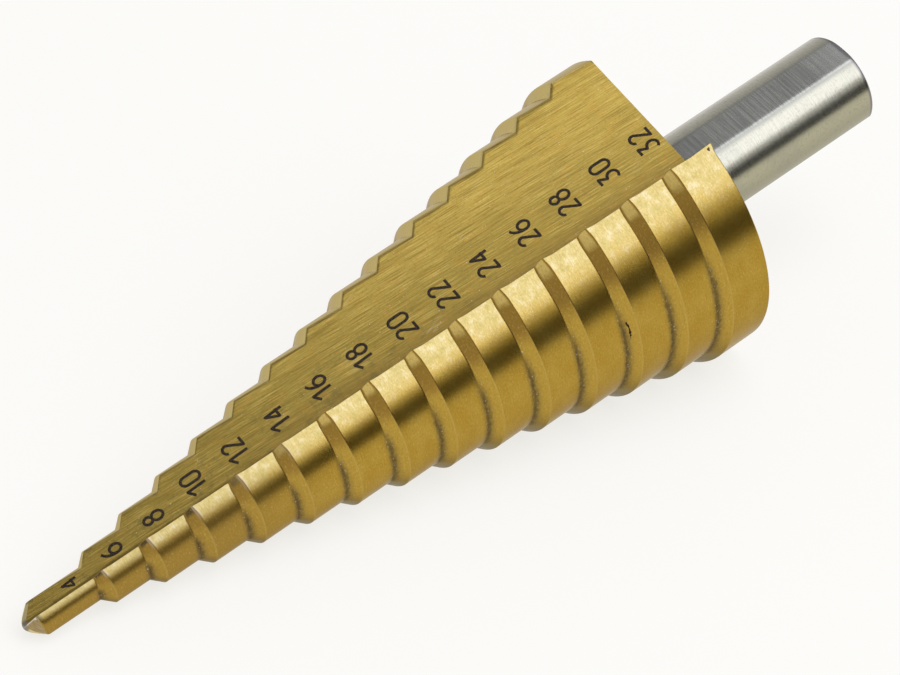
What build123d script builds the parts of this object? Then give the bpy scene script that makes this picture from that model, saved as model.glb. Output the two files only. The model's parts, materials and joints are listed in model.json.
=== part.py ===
"""Step drill, 4 to 32 mm in fifteen steps, ground from one bar of high-speed steel.

The drill is drawn upright first: its axis is Z, the tip of the point is at Z = 0, the shank
is above, and the first cutting edge lies over +X. At the end it is laid down as it comes to
rest on a table, with the point towards -X, the shank towards +X and one flute facing up.
"""
import os
from math import cos, radians, sin, sqrt, tan

from build123d import *

# Driving dimensions of the stepped head, in millimetres
first_diameter = 4.0
diameter_rise = 2.0        # from one step to the next
step_count = 15
first_ramp_end = 8.35      # from the tip of the point to the end of the first ramp
step_pitch = 4.8           # from one ramp end to the next
ramp_length = 1.1          # along the axis, for each ramp between two lands
last_land_length = 4.6
land_relief = 0.21         # each half of the head is turned this far off the axis

# Driving dimensions of the point, in millimetres and degrees
point_angle = 118.0
flank_lean = 21.5          # each flank is a cone that leans towards its own lip
chisel_reach = 0.9         # from the axis to the tip of that cone, past the centre
gash_turn = -27.0          # the way the gash beside the web faces, from the first cutting edge
gash_lean = 20.0           # how far the face of the gash leans towards the tip
gash_distance = 0.17       # from the tip of the point to the face of the gash

# Driving dimensions of the two straight flutes, in millimetres and degrees
flute_angle = 103.5        # between the cutting face and the wall behind it
flute_slope = 7.4          # the floor climbs away from the axis towards the shank
flute_root_radius = 0.5
web_at_tip = 0.5           # metal left between the two flutes at the point

# Driving dimensions of the shank, in millimetres and degrees
shank_diameter = 10.0
shank_length = 24.0
shank_end_rounding = 0.3
shank_flat_count = 3
shank_flat_height = 4.74   # from the axis to each flat
shank_flat_turn = -23.4    # from the first cutting edge to the first flat

# Sizes that follow from the driving dimensions
first_radius = first_diameter / 2
last_radius = first_radius + (step_count - 1) * diameter_rise / 2
last_ramp_end = first_ramp_end + (step_count - 2) * step_pitch
head_length = last_ramp_end + last_land_length
half_point = point_angle / 2
lip_drop = first_radius / tan(radians(half_point))
floor_climb = tan(radians(flute_slope))
overrun = 2 * last_radius  # how far every cut runs past the metal

half_turn = Rot(0, 0, 180)


def stepped_outline():
    """Corners of half the head's section, from the tip face out and up to the rear face."""
    corners = [(0, 0)]
    radius = first_radius - land_relief
    corners.append((radius, 0))
    for step in range(step_count - 1):
        ramp_end = first_ramp_end + step * step_pitch
        corners.append((radius, ramp_end - ramp_length))
        radius += diameter_rise / 2
        corners.append((radius, ramp_end))
    corners.append((radius, head_length))
    corners.append((0, head_length))
    return corners


def relieved_head():
    """The turned head. Each half sits a little towards its own cutting edge, so that the lands
    fall away behind that edge and do not rub in the hole. The seam is inside the flutes."""
    section = make_face(Plane.XZ * Polyline(stepped_outline(), close=True))
    turned = Pos(land_relief, 0, 0) * revolve(section, Axis.Z)
    seam_side = radians(90 - flute_angle / 3)
    seam = Plane(origin=(0, 0, 0), x_dir=(0, 0, 1), z_dir=(cos(seam_side), sin(seam_side), 0))
    half = split(turned, bisect_by=seam, keep=Keep.TOP)
    return half + half_turn * half


def point_envelope():
    """Everything behind the two ground flanks of the point. Each flank is part of a cone that
    leans towards its lip, so the lip is straight and the metal behind it drops back. The two
    flanks meet in a short chisel edge across the web."""
    cone_height = head_length + overrun
    cone_tip = Pos(-chisel_reach, 0, -chisel_reach / tan(radians(half_point)))
    cone_radius = cone_height * tan(radians(half_point - flank_lean))
    cone = Cone(0, cone_radius, cone_height, align=(Align.CENTER, Align.CENTER, Align.MIN))
    flank = split(cone_tip * Rot(0, flank_lean, 0) * cone, bisect_by=Plane.YZ, keep=Keep.TOP)
    return flank + half_turn * flank


def flute():
    """What the grinding wheel takes out in front of the first cutting edge: a groove with one
    side through the axis, a small round root, and a floor that climbs towards the shank."""
    slope = radians(flute_slope)
    wheel_path = Vector(sin(slope), 0, cos(slope))
    start = Vector(web_at_tip / 2, 0, 0) - wheel_path * overrun
    wheel = Plane(origin=start, x_dir=(cos(slope), 0, -sin(slope)), z_dir=wheel_path)
    wall = radians(flute_angle)
    wall_end = (overrun * cos(wall), -overrun * sin(wall))
    groove = Polyline((0, 0), (overrun, 0), (overrun, -overrun), wall_end, close=True)
    section = make_face(wheel * groove)
    root = section.vertices().sort_by_distance(start)[0]
    section = fillet(root, flute_root_radius)
    return extrude(section, head_length + 2 * overrun, dir=wheel_path)


def gash():
    """What splits the point: a small cut that thins the web in front of the first lip. One
    side is a narrow face along the heel of the other flank, and the other side lies in the
    plane of the lip."""
    size = 2 * first_diameter
    wheel = Box(size, size, size, align=(Align.MIN, Align.CENTER, Align.CENTER))
    wheel = Rot(0, 0, gash_turn) * Rot(0, gash_lean, 0) * Pos(gash_distance, 0, 0) * wheel
    return split(wheel, bisect_by=Plane.XZ, keep=Keep.TOP)


def shank():
    """The round shank, with a small rounding at the end and three clamping flats."""
    bar = Cylinder(
        shank_diameter / 2, shank_length, align=(Align.CENTER, Align.CENTER, Align.MIN)
    )
    bar = fillet(bar.edges().sort_by(Axis.Z)[-1], shank_end_rounding)
    slab = Box(
        shank_diameter, shank_diameter, shank_length, align=(Align.MIN, Align.CENTER, Align.MIN)
    )
    for flat in range(shank_flat_count):
        turn = shank_flat_turn + flat * 360 / shank_flat_count
        bar -= Rot(0, 0, turn) * Pos(shank_flat_height, 0, 0) * slab
    return Pos(0, 0, head_length) * bar


def heel_corner(along, radius):
    """Where the first half's land meets the wall of the second flute, at one place along the
    axis: the flute wall's line, crossed with the land's circle."""
    wall = radians(flute_angle)
    step = Vector(-cos(wall) / cos(radians(flute_slope)), sin(wall), 0).normalized()
    root = web_at_tip / 2 + along * floor_climb
    from_centre = root + land_relief
    lean = from_centre * step.X
    reach = lean + sqrt(lean**2 - from_centre**2 + (radius - land_relief) ** 2)
    return Vector(-root, 0, along) + step * reach


def resting_place():
    """The table under the drill: a plane through the three corners that touch it, which are a
    lip corner at the point and both edges of one flute on the largest step."""
    lip = Vector(-first_radius, 0, lip_drop)
    cutting = Vector(-last_radius, 0, last_ramp_end)
    heel = heel_corner(last_ramp_end, last_radius)
    up = (lip - cutting).cross(heel - cutting).normalized()
    axis = Vector(0, 0, 1)
    return Plane(origin=cutting, x_dir=axis - up * up.dot(axis), z_dir=up)


def step_drill():
    """The whole drill, upright."""
    head = relieved_head() & point_envelope()
    for cut in (flute(), gash()):
        head = head - cut - half_turn * cut
    return head + shank()


drill = resting_place().location.inverse() * step_drill()
bounds = drill.bounding_box()
drill = Pos(-bounds.center().X, -bounds.center().Y, -bounds.min.Z) * drill
drill.label = "step_drill"

os.makedirs("parts", exist_ok=True)
export_step(drill, "parts/step_drill.step")
print("length of the head", round(head_length, 2), "whole", round(head_length + shank_length, 2))
print("lying size", [round(side, 2) for side in bounds.size])
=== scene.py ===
# %% [markdown]
# # A step drill, cell by cell
#
# The object is a step drill for sheet metal: one bar of high-speed steel with fifteen steps
# from 4 to 32 mm, two straight flutes, and a 10 mm shank with three clamping flats. A solid
# model of it is already there, at its real size and lying as it comes to rest. This lesson
# builds the surface that is seen: rounded corners, worn edges, the satin gold coating, the
# brushed flute walls and the marked numbers.
#
# The first step loads that solid as a fixed frame. Everything after it is placed from the
# frame, so nothing has to be fitted by eye.

# %% Load the frame
import json
from math import atan2, cos, pi, radians, sin, tan

import bpy
import numpy as np
from mathutils import Matrix, Vector


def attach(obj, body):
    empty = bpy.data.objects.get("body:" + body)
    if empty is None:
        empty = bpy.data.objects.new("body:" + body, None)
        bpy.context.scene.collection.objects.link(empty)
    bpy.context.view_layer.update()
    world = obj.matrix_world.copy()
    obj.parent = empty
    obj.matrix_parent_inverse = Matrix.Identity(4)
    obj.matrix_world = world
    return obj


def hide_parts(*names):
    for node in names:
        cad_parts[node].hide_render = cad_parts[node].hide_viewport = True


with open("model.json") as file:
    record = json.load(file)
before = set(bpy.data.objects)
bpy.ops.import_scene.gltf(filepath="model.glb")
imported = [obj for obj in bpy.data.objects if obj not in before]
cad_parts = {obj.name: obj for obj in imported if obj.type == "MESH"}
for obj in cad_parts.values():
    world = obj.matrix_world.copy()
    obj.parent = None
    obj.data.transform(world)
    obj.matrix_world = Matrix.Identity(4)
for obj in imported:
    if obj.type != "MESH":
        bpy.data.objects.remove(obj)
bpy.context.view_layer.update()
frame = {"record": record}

# %% [markdown]
# ## Where the drill lies
#
# A drill is simplest to describe upright, with its axis as Z and the tip at zero. The frame
# knows where the real one lies: two of its mounts give the centre of the shank's end with the
# direction of the axis, and the direction in which the first clamping flat faces. From those
# two a matrix is made that carries upright coordinates to the place on the table.
#
# All sizes below are in millimetres, because that is how such a tool is drawn. The matrix also
# scales them to metres, which is Blender's unit.

# %% Sizes of the drill and its place
mm = 0.001
first_radius = 2.0
radius_rise = 1.0            # from one step to the next
step_count = 15
first_ramp_end = 8.35        # from the tip to the end of the first ramp
step_pitch = 4.8
ramp_length = 1.1
last_land_length = 4.6
land_relief = 0.21           # each half is turned this far off the axis
last_ramp_end = first_ramp_end + (step_count - 2) * step_pitch
head_length = last_ramp_end + last_land_length
shank_radius = 5.0
shank_length = 24.0
shank_flat_height = 4.74
shank_flat_turn = radians(-23.4)

mounts = {mount["name"]: mount for mount in frame["record"]["mounts"]}
axis = Vector(mounts["shank_end"]["axis"]).normalized()
flat_way = Vector(mounts["jaw_flat_up"]["axis"]).normalized()
lip_way = Matrix.Rotation(-shank_flat_turn, 3, axis) @ flat_way
side_way = axis.cross(lip_way)
tip = Vector(mounts["shank_end"]["pos_m"]) - axis * (head_length + shank_length) * mm
upright_to_table = Matrix.Translation(tip) @ Matrix(
    [[lip_way[row] * mm, side_way[row] * mm, axis[row] * mm] for row in range(3)]
).to_4x4()
print("tip of the point in mm", [round(1000 * part, 2) for part in tip])

# %% [markdown]
# ## The outline of the steps
#
# Seen from the side, the head is a staircase: a land, a short ramp, the next land. A grinding
# wheel never leaves a perfectly sharp corner, and a corner with no width can't catch light in
# a render, so both corners of every ramp get a small curve. A quadratic curve between three
# points is enough for that. Two more rings close to each curve keep the shading of the long
# flat lands from leaning towards it.

# %% Radius along the axis
inner_round = 0.07           # length of the curve on each side of an inner corner
outer_round = 0.05
guard = 0.03                 # distance of the extra ring from each curve
rings_in_curve = 5


def curve_points(before, corner, after, count):
    """Points of a quadratic curve from before to after, pulled towards the corner."""
    points = []
    for step in range(count):
        t = step / (count - 1)
        point = (1 - t) ** 2 * before + 2 * t * (1 - t) * corner + t**2 * after
        points.append(point)
    return points


def rounded_corner(behind, corner, ahead, size):
    """The curve at one corner of the staircase, between its two neighbours."""
    before = corner + (behind - corner) / np.linalg.norm(behind - corner) * size
    after = corner + (ahead - corner) / np.linalg.norm(ahead - corner) * size
    lead_in = before + (before - corner) / size * guard
    lead_out = after + (after - corner) / size * guard
    return [lead_in] + curve_points(before, corner, after, rings_in_curve) + [lead_out]


ramp_starts = [first_ramp_end + step * step_pitch - ramp_length for step in range(step_count - 1)]
ramp_ends = [start + ramp_length for start in ramp_starts]
stair = [np.array((0.0, first_radius))]
for step in range(step_count - 1):
    radius = first_radius + step * radius_rise
    stair.append(np.array((ramp_starts[step], radius)))
    stair.append(np.array((ramp_ends[step], radius + radius_rise)))
stair.append(np.array((head_length, first_radius + (step_count - 1) * radius_rise)))
print("corners of the staircase", len(stair))

# %% [markdown]
# The surface of the head is drawn as rings around its axis, and the staircase says where they
# go. The long lands get a ring every 0.8 mm or so, and the corners get their small curves. The
# rim of the rear face has a narrow bevel. The first rings start past the ground point, which
# comes later.

# %% Rings along the head
ring_spacing = 0.8
point_zone_end = 2.6         # rings start here, past the ground point
profile = [np.array((point_zone_end, first_radius))]
for index in range(1, len(stair) - 1):
    size = inner_round if index % 2 else outer_round
    bend = rounded_corner(stair[index - 1], stair[index], stair[index + 1], size)
    gap = bend[0] - profile[-1]
    rings_between = int(np.linalg.norm(gap) / ring_spacing)
    for ring in range(1, rings_between + 1):
        profile.append(profile[-1] + gap / (rings_between + 1))
    profile += bend
rear_bevel = 0.12
extra_ring_from_rear = 2.4
profile.append(np.array((head_length - extra_ring_from_rear, stair[-1][1])))
profile.append(np.array((head_length - rear_bevel - guard, stair[-1][1])))
profile.append(np.array((head_length - rear_bevel, stair[-1][1])))
profile.append(np.array((head_length - rear_bevel / 3, stair[-1][1] - rear_bevel / 3)))
profile.append(np.array((head_length, stair[-1][1] - rear_bevel)))
profile = np.array(profile)
print("rings along the head", len(profile))

# %% [markdown]
# ## One section of the head
#
# Cut across anywhere, the head looks the same apart from its size: two lobes with two V-shaped
# flutes between them, and the second half is the first one turned by 180 degrees. So only half
# the outline is worked out: the arc of one land from the cutting edge to the heel, the wall of
# the flute behind it down to the root, the small round root, and the next cutting face back
# out to the next cutting edge.
#
# The flute floor climbs away from the axis towards the shank, so the place of the root depends
# on the distance along the axis. The formulas take whole arrays, one row for each ring.
#
# In the photo the cutting edges of the largest steps lie a little further back than those of
# the small ones. The cause can't be seen. The last values below hold how far.

# %% Sizes of the flutes
flute_angle = radians(103.5)
flute_slope = radians(7.4)
root_radius = 0.5
web_at_tip = 0.5
floor_climb = tan(flute_slope)
wall_way = np.array((-cos(flute_angle) / cos(flute_slope), sin(flute_angle)))
wall_way = wall_way / np.linalg.norm(wall_way)
opening_angle = pi - atan2(wall_way[1], wall_way[0])     # of the flute, across the axis
root_reach = root_radius / tan(opening_angle / 2)        # from the V's corner to the round root
edge_bevel = 0.025
edge_set_back = 0.12         # of the cutting edge on the largest steps, judged
set_back_from, set_back_to = 45.0, 68.0

print("flute opens by", round(float(np.degrees(opening_angle)), 1), "degrees across the axis")

# %% [markdown]
# Each stretch of the outline has its own number of points. The points are closer together near
# the cutting edge, on the land and on the cutting face alike, because the wear there needs
# them. The two places where the wall meets the land and the root come from one line crossed
# with a circle.

# %% Half the outline, for any place along the axis
arc_count, wall_count, root_count, rake_count = 60, 30, 7, 16
half_count = arc_count + wall_count + root_count + rake_count
arc_part = slice(0, arc_count)
wall_part = slice(arc_count, arc_count + wall_count)
root_part = slice(arc_count + wall_count, arc_count + wall_count + root_count)
rake_part = slice(half_count - rake_count, half_count)
crowding = 1.5               # how much closer the points are near the cutting edge


def wall_to_land(root, turned):
    """How far from the land's centre the wall's line starts, and how long it is from there."""
    from_centre = root + land_relief
    lean = from_centre * wall_way[0]
    return from_centre, lean + np.sqrt(lean**2 - from_centre**2 + turned**2)


def half_outline(along, radius):
    """x and y of half the outline. along is one number per point, radius one per ring."""
    x = np.zeros(along.shape)
    y = np.zeros(along.shape)
    turned = radius - land_relief
    root = web_at_tip / 2 + along * floor_climb
    ground_away = np.clip((along - set_back_from) / (set_back_to - set_back_from), 0, 1)
    ground_away = edge_set_back * ground_away

    from_centre, reach = wall_to_land(root[:, arc_part], turned)
    heel_turn = np.arctan2(reach * wall_way[1], -from_centre + reach * wall_way[0])
    bevel_turn = edge_bevel / turned
    edge_turn = bevel_turn + ground_away[:, arc_part] / turned
    share = np.linspace(0, 1, arc_count) ** crowding
    turn = edge_turn + (heel_turn - bevel_turn - edge_turn) * share
    x[:, arc_part] = land_relief + turned * np.cos(turn)
    y[:, arc_part] = turned * np.sin(turn)

    reach = wall_to_land(root[:, wall_part], turned)[1]
    share = 1 - np.linspace(0, 1, wall_count)
    out = root_reach + (reach - edge_bevel - root_reach) * share
    x[:, wall_part] = -root[:, wall_part] + out * wall_way[0]
    y[:, wall_part] = out * wall_way[1]

    first_turn = atan2(-wall_way[0], wall_way[1])
    share = np.linspace(0, 1, root_count + 1)[1:]
    turn = first_turn + (-pi / 2 - first_turn) * share
    x[:, root_part] = -root[:, root_part] - root_reach + root_radius * np.cos(turn)
    y[:, root_part] = root_radius + root_radius * np.sin(turn)

    inner = root[:, rake_part] + root_reach
    share = 1 - (1 - np.linspace(0, 1, rake_count + 1)[1:]) ** crowding
    x[:, rake_part] = -(inner + (radius - edge_bevel - inner) * share)
    y[:, rake_part] = -ground_away[:, rake_part] * share
    return x, y


def whole_rings(along, radius):
    """Both halves of every ring as points in millimetres, upright."""
    x, y = half_outline(along, radius)
    x = np.concatenate([x, -x], axis=1)
    y = np.concatenate([y, -y], axis=1)
    z = np.concatenate([along, along], axis=1)
    return np.stack([x, y, z], axis=2)


along = np.repeat(profile[:, :1], half_count, axis=1)
rings = whole_rings(along, profile[:, 1:])
print("points around a ring", rings.shape[1])

# %% [markdown]
# ## The ground point
#
# The point is made by two flanks, each a part of a cone that leans towards its own cutting
# lip. At any place across the axis the height of the surface is the solution of a quadratic
# equation, so no boolean cut is needed. A small gash beside the web splits the point. Its face
# is a plane, so it has a height too, and the surface is the higher of the two.

# %% Height of the flanks and the gash
half_point = radians(59)
flank_lean = radians(21.5)
chisel_reach = 0.9
flank_half_angle = half_point - flank_lean
gash_turn = radians(-27)
gash_lean = radians(20)
gash_distance = 0.17


def point_height(x, y):
    """Height of the point's surface over a place across the axis, in millimetres."""
    across = np.abs(x) + chisel_reach
    narrow = cos(flank_half_angle) ** 2
    a = cos(flank_lean) ** 2 - narrow
    b = 2 * across * sin(flank_lean) * cos(flank_lean)
    c = across**2 * sin(flank_lean) ** 2 - narrow * (across**2 + y**2)
    flank = (-b + np.sqrt(b**2 - 4 * a * c)) / (2 * a) - chisel_reach / tan(half_point)
    side = -np.sign(np.round(y, 6))
    reach = side * (x * cos(gash_turn) + y * sin(gash_turn)) * cos(gash_lean)
    gash = (reach - gash_distance) / sin(gash_lean)
    return np.maximum(flank, gash)


print("height of the chisel edge", round(float(point_height(0.0, 0.0)), 3))

# %% [markdown]
# The rim of the point follows that height all around the outline. In the photo it looks a
# little round, not sharp. Three close rings make that small curve. A few more rings
# blend from it to the first plain ring of the head. The outline changes with the height and
# the height with the outline, so each is worked out from the other until both have settled.

# %% The worn rim and the rings under the point
rim_round = 0.12             # the rim of the flanks is worn round by this much
settling_rounds = 8


def rim_height(radius):
    """Height of the point's surface all along the outline at one radius."""
    height = np.zeros((1, half_count))
    for repeat in range(settling_rounds):
        x, y = half_outline(height, np.array([[radius]]))
        height = point_height(x, y)
    return height[0]


worn_rim = rim_height(first_radius - rim_round)
rim = rim_height(first_radius) + rim_round
blend_rings = 4
blend = [worn_rim, (worn_rim + rim) / 2, rim]
blend += [rim + (point_zone_end - rim) * step / blend_rings for step in range(1, blend_rings)]
blend_radius = np.full((len(blend), 1), first_radius)
blend_radius[0] -= rim_round
blend_radius[1] -= rim_round / 4
rings = np.concatenate([whole_rings(np.array(blend), blend_radius), rings])
print("height of the point's rim where it is highest", round(float(rim.max()), 2))

# %% [markdown]
# ## Numbers that the finishes need
#
# A finish can follow the shape only if it knows where on the shape it is, so every point keeps
# two sets of three numbers. The first is its grain: how far it lies across and along its own
# surface, for the direction of the grinding marks, and how far from the cutting edge. The
# second is for wear and dirt: how far the point is from the nearest inner and outer corner of
# a ramp, and how far around the land from the cutting edge.

# %% Numbers at every point of the head
def step_distances(along):
    """Distance to the nearest inner corner and to the nearest outer corner of a ramp."""
    inner = np.abs(along[..., None] - np.array(ramp_starts)).min(axis=-1)
    outer = np.abs(along[..., None] - np.array(ramp_ends + [head_length])).min(axis=-1)
    return inner, outer


def side_numbers(points):
    """Per point: across and along its surface, and the distance from the cutting edge."""
    across = np.zeros(points.shape[:2])
    from_edge = np.zeros(points.shape[:2])
    for half in range(2):
        sign = 1 - 2 * half
        start = half * half_count
        x = points[:, start:start + half_count, 0] * sign
        y = points[:, start:start + half_count, 1] * sign
        root = web_at_tip / 2 + points[:, start:start + half_count, 2] * floor_climb
        turn = np.arctan2(y[:, arc_part], x[:, arc_part] - land_relief)
        size = np.hypot(y[:, arc_part], x[:, arc_part] - land_relief)
        wall = np.hypot(x + root, y)
        numbers = np.zeros(x.shape)
        numbers[:, arc_part] = turn * size
        numbers[:, wall_part] = wall[:, wall_part]
        numbers[:, root_part] = wall[:, root_part]
        numbers[:, rake_part] = -wall[:, rake_part]
        across[:, start:start + half_count] = numbers
        edge = np.zeros(x.shape)
        edge[:, arc_part] = turn * size
        reach = wall[:, wall_part][:, :1]
        edge[:, wall_part] = reach - wall[:, wall_part]
        edge[:, root_part] = reach
        far = np.abs(x[:, rake_part][:, -1:])
        edge[:, rake_part] = far - np.abs(x[:, rake_part])
        from_edge[:, start:start + half_count] = edge
    return across, from_edge


across, from_edge = side_numbers(rings)
inner, outer = step_distances(rings[..., 2])
print("largest distance across a surface in mm", round(float(across.max()), 1))

# %% [markdown]
# ## Worn cutting corners
#
# In the photo the corners where the ramps meet the cutting edge look rolled over: the ramp is
# steeper there, and its corner bulges into the flute a little. The sizes were judged.
# They grow towards the large steps and vary by chance. The corner at the rear is drawn out instead. Each such
# change is largest at one place and fades away smoothly around it, so it moves points that are
# already there and needs no new ones. The seed keeps the result the same on each run.

# %% Burrs at the cutting corners
burr_height, burr_reach = 0.30, 0.6      # how far it reaches, along the axis and from the edge
inner_lift, outer_drop = 0.13, 0.15      # of the ramp's corners, so that it is steeper
rear_draw = 0.28                         # of the corner at the rear face
first_bulge, bulge_growth = 0.08, 0.011  # into the flute, and more from step to step
bulge_below, bulge_height, bulge_reach = 0.25, 0.40, 0.45
burr_points = 12                         # of the land's arc, from the cutting edge
untouched = 9.0                          # a distance at which nothing changes
least_luck, most_luck = 0.8, 1.3         # each bulge is that much larger or smaller
rear_share = 0.5                         # of the bulge, at the rear face


def fading(height, place, tall, from_edge, wide):
    """1 at a place on the cutting edge, and smoothly less around it."""
    return np.exp(-((height - place) / tall) ** 2 - (from_edge / wide) ** 2)


def roll_burrs(points, from_edge):
    """Cutting corners worn over: each ramp is steeper there, and bulges into the flute."""
    chance = np.random.default_rng(8)
    moved = points.copy()
    height = points[..., 2]
    from_edge = from_edge.copy()
    for start in (0, half_count):
        from_edge[:, start + arc_count:start + half_count - rake_count] = untouched
    for index, place in enumerate(ramp_ends + [head_length]):
        at_rear = place == head_length
        near_outer = fading(height, place, burr_height, from_edge, burr_reach)
        near_inner = fading(height, place - ramp_length, burr_height, from_edge, burr_reach)
        if at_rear:
            moved[..., 2] += rear_draw * near_outer
        else:
            moved[..., 2] += inner_lift * near_inner - outer_drop * near_outer
        bulge = fading(height, place - bulge_below, bulge_height, from_edge, bulge_reach)
        for half in range(2):
            sign = 1 - 2 * half
            size = (first_bulge + bulge_growth * index) * chance.uniform(least_luck, most_luck)
            size = rear_share * size if at_rear else size
            start = half * half_count
            other = (1 - half) * half_count
            near_arc = slice(start, start + burr_points)
            near_face = slice(other + half_count - rake_count, other + half_count)
            moved[:, near_arc, 1] -= sign * size * bulge[:, near_arc]
            moved[:, near_face, 1] -= sign * size * bulge[:, near_face]
    return moved


plain_rings = rings
rings = roll_burrs(rings, from_edge)
print("furthest that a point moved, in mm", round(float(np.abs(rings - plain_rings).max()), 2))

# %% [markdown]
# ## Putting the head together
#
# The rings become one mesh. Each square of four points between two rings gets a finish: the
# turned lands and ramps, or the brushed flute walls with the cutting faces.

# %% Squares between the rings
TURNED, BRUSHED, GROUND, FACED = 0, 1, 2, 3
ring_size = 2 * half_count
ring_total = len(rings)


def patch_finish():
    """The finish of the squares between each pair of neighbours around a ring."""
    half = [TURNED] * arc_count + [BRUSHED] * (wall_count + root_count + rake_count)
    half[arc_count - 1] = BRUSHED
    return half + half


points = [tuple(point) for point in rings.reshape(-1, 3)]
finish_of_square = patch_finish()
faces = []
finishes = []
for ring in range(ring_total - 1):
    for place in range(ring_size):
        nearby = (place + 1) % ring_size
        low, high = ring * ring_size, (ring + 1) * ring_size
        faces.append((low + nearby, low + place, high + place, high + nearby))
        finishes.append(finish_of_square[place])
grain = np.stack([across, rings[..., 2], from_edge], axis=2).reshape(-1, 3).tolist()
land_turn = from_edge / np.hypot(rings[..., 0], rings[..., 1])
corners = np.stack([inner, outer, land_turn], axis=2).reshape(-1, 3).tolist()
print("squares on the sides of the head", len(faces))

# %% [markdown]
# The fan over the point needs some care at the cutting lips. A lip lies exactly on a ray from
# the axis, so the points of the next cutting face are used as the points of that ray, and the
# two surfaces meet without a gap. Points that fall on each other are merged afterwards.

# %% The face of the point
fan_inner, fan_outer = 5, rake_count
no_corner = [6.0, 6.0, 0.0]  # far from every ramp
first_ring = rings[0]


def add_fan(half):
    """The flank of one lobe, as rays from the axis to the outline."""
    start = half * half_count
    outline = first_ring[start:start + half_count - rake_count]
    other = (1 - half) * half_count
    lip = first_ring[other + half_count - rake_count - 1:other + half_count]
    ray_total = len(outline) + 1
    rays = np.zeros((ray_total, fan_inner + fan_outer + 1, 2))
    inner_share = np.linspace(0, 1, fan_inner + 1)[:, None]
    rays[0, :fan_inner + 1] = lip[0, :2] * inner_share
    rays[0, fan_inner:] = lip[:, :2]
    first_break = np.linalg.norm(lip[0, :2]) / np.linalg.norm(lip[-1, :2])
    outer_share = np.linspace(0, 1, fan_outer + 1)[:, None]
    for ray in range(1, ray_total):
        end = outline[ray - 1, :2]
        share = first_break + (1 - first_break) * ((ray - 1) / (ray_total - 2)) ** 2
        rays[ray, :fan_inner + 1] = end * share * inner_share
        rays[ray, fan_inner:] = end * (share + (1 - share) * outer_share)
    heights = point_height(rays[..., 0], rays[..., 1])
    base = len(points)
    row = fan_inner + fan_outer + 1
    for ray in range(ray_total):
        for place in range(row):
            x, y = rays[ray, place]
            points.append((x, y, heights[ray, place]))
            grain.append([x, y, first_radius - (x * x + y * y) ** 0.5])
            corners.append(no_corner)
    for ray in range(ray_total - 1):
        for place in range(row - 1):
            corner = base + ray * row + place
            faces.append((corner, corner + row, corner + row + 1, corner + 1))
            finishes.append(GROUND)


add_fan(0)
add_fan(1)
print("squares on the point", finishes.count(GROUND))

# %% [markdown]
# The rear face is flat, so triangles from its centre to the last ring are enough. It counts
# as a finish of its own.

# %% The rear face
rear_centre = len(points)
points.append((0.0, 0.0, head_length))
grain.append([0.0, 0.0, 0.0])
corners.append(no_corner)
last = (ring_total - 1) * ring_size
for place in range(ring_size):
    faces.append((last + place, rear_centre, last + (place + 1) % ring_size))
    finishes.append(FACED)
print("points", len(points), "faces", len(faces))

# %% [markdown]
# A small helper turns such lists into a Blender object. It carries the points to the table,
# merges doubles, throws away faces that the merging squeezed flat, and marks edges sharper
# than 35 degrees, so that the surface shades smoothly everywhere else. A weighted normal
# modifier lets the large faces decide the shading and leaves the bevels to the small ones.

# %% Helper that makes an object
import bmesh

merge_distance = 0.0004      # in millimetres
sharp_angle = radians(35)


def make_piece(name, points, faces, finishes, numbers, materials):
    """An object on the table, with named per-point numbers for its materials."""
    mesh = bpy.data.meshes.new(name)
    mesh.from_pydata(points, [], faces)
    for material in materials:
        mesh.materials.append(material)
    mesh.polygons.foreach_set("material_index", finishes)
    for label, values in numbers.items():
        layer = mesh.attributes.new(label, "FLOAT_VECTOR", "POINT")
        layer.data.foreach_set("vector", np.array(values, dtype=np.float32).ravel())
    work = bmesh.new()
    work.from_mesh(mesh)
    bmesh.ops.remove_doubles(work, verts=work.verts, dist=merge_distance)
    bmesh.ops.dissolve_degenerate(work, edges=work.edges, dist=merge_distance)
    bmesh.ops.recalc_face_normals(work, faces=work.faces)
    open_edges = sum(1 for edge in work.edges if not edge.is_manifold)
    work.to_mesh(mesh)
    work.free()
    mesh.transform(upright_to_table)
    mesh.shade_smooth()
    mesh.set_sharp_from_angle(angle=sharp_angle)
    piece = bpy.data.objects.new(name, mesh)
    bpy.context.scene.collection.objects.link(piece)
    even = piece.modifiers.new("even shading", "WEIGHTED_NORMAL")
    even.keep_sharp = True
    even.weight = 90
    print(name, "vertices", len(mesh.vertices), "faces", len(mesh.polygons),
          "open edges", open_edges)
    return piece


# %% [markdown]
# ## The gold coating
#
# A gold coating like this is usually a hard nitride, a few micrometres thick. It looks like a
# metal: it has no colour of its own beside what it reflects, and its gold shows in the
# reflection. So each coated finish is fully metallic, with a soft roughness.
#
# A finish is a graph of nodes. Written node by node it would be hard to follow, so a small
# class adds them: each method makes one node and gives back its output. Distances are in
# millimetres, noise lies between 0 and 1, and a range is 0 at its first number and 1 at its
# second, unless two more numbers say what it is there. So a finish reads like a recipe of
# layers.

# %% Helper for shader nodes


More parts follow.
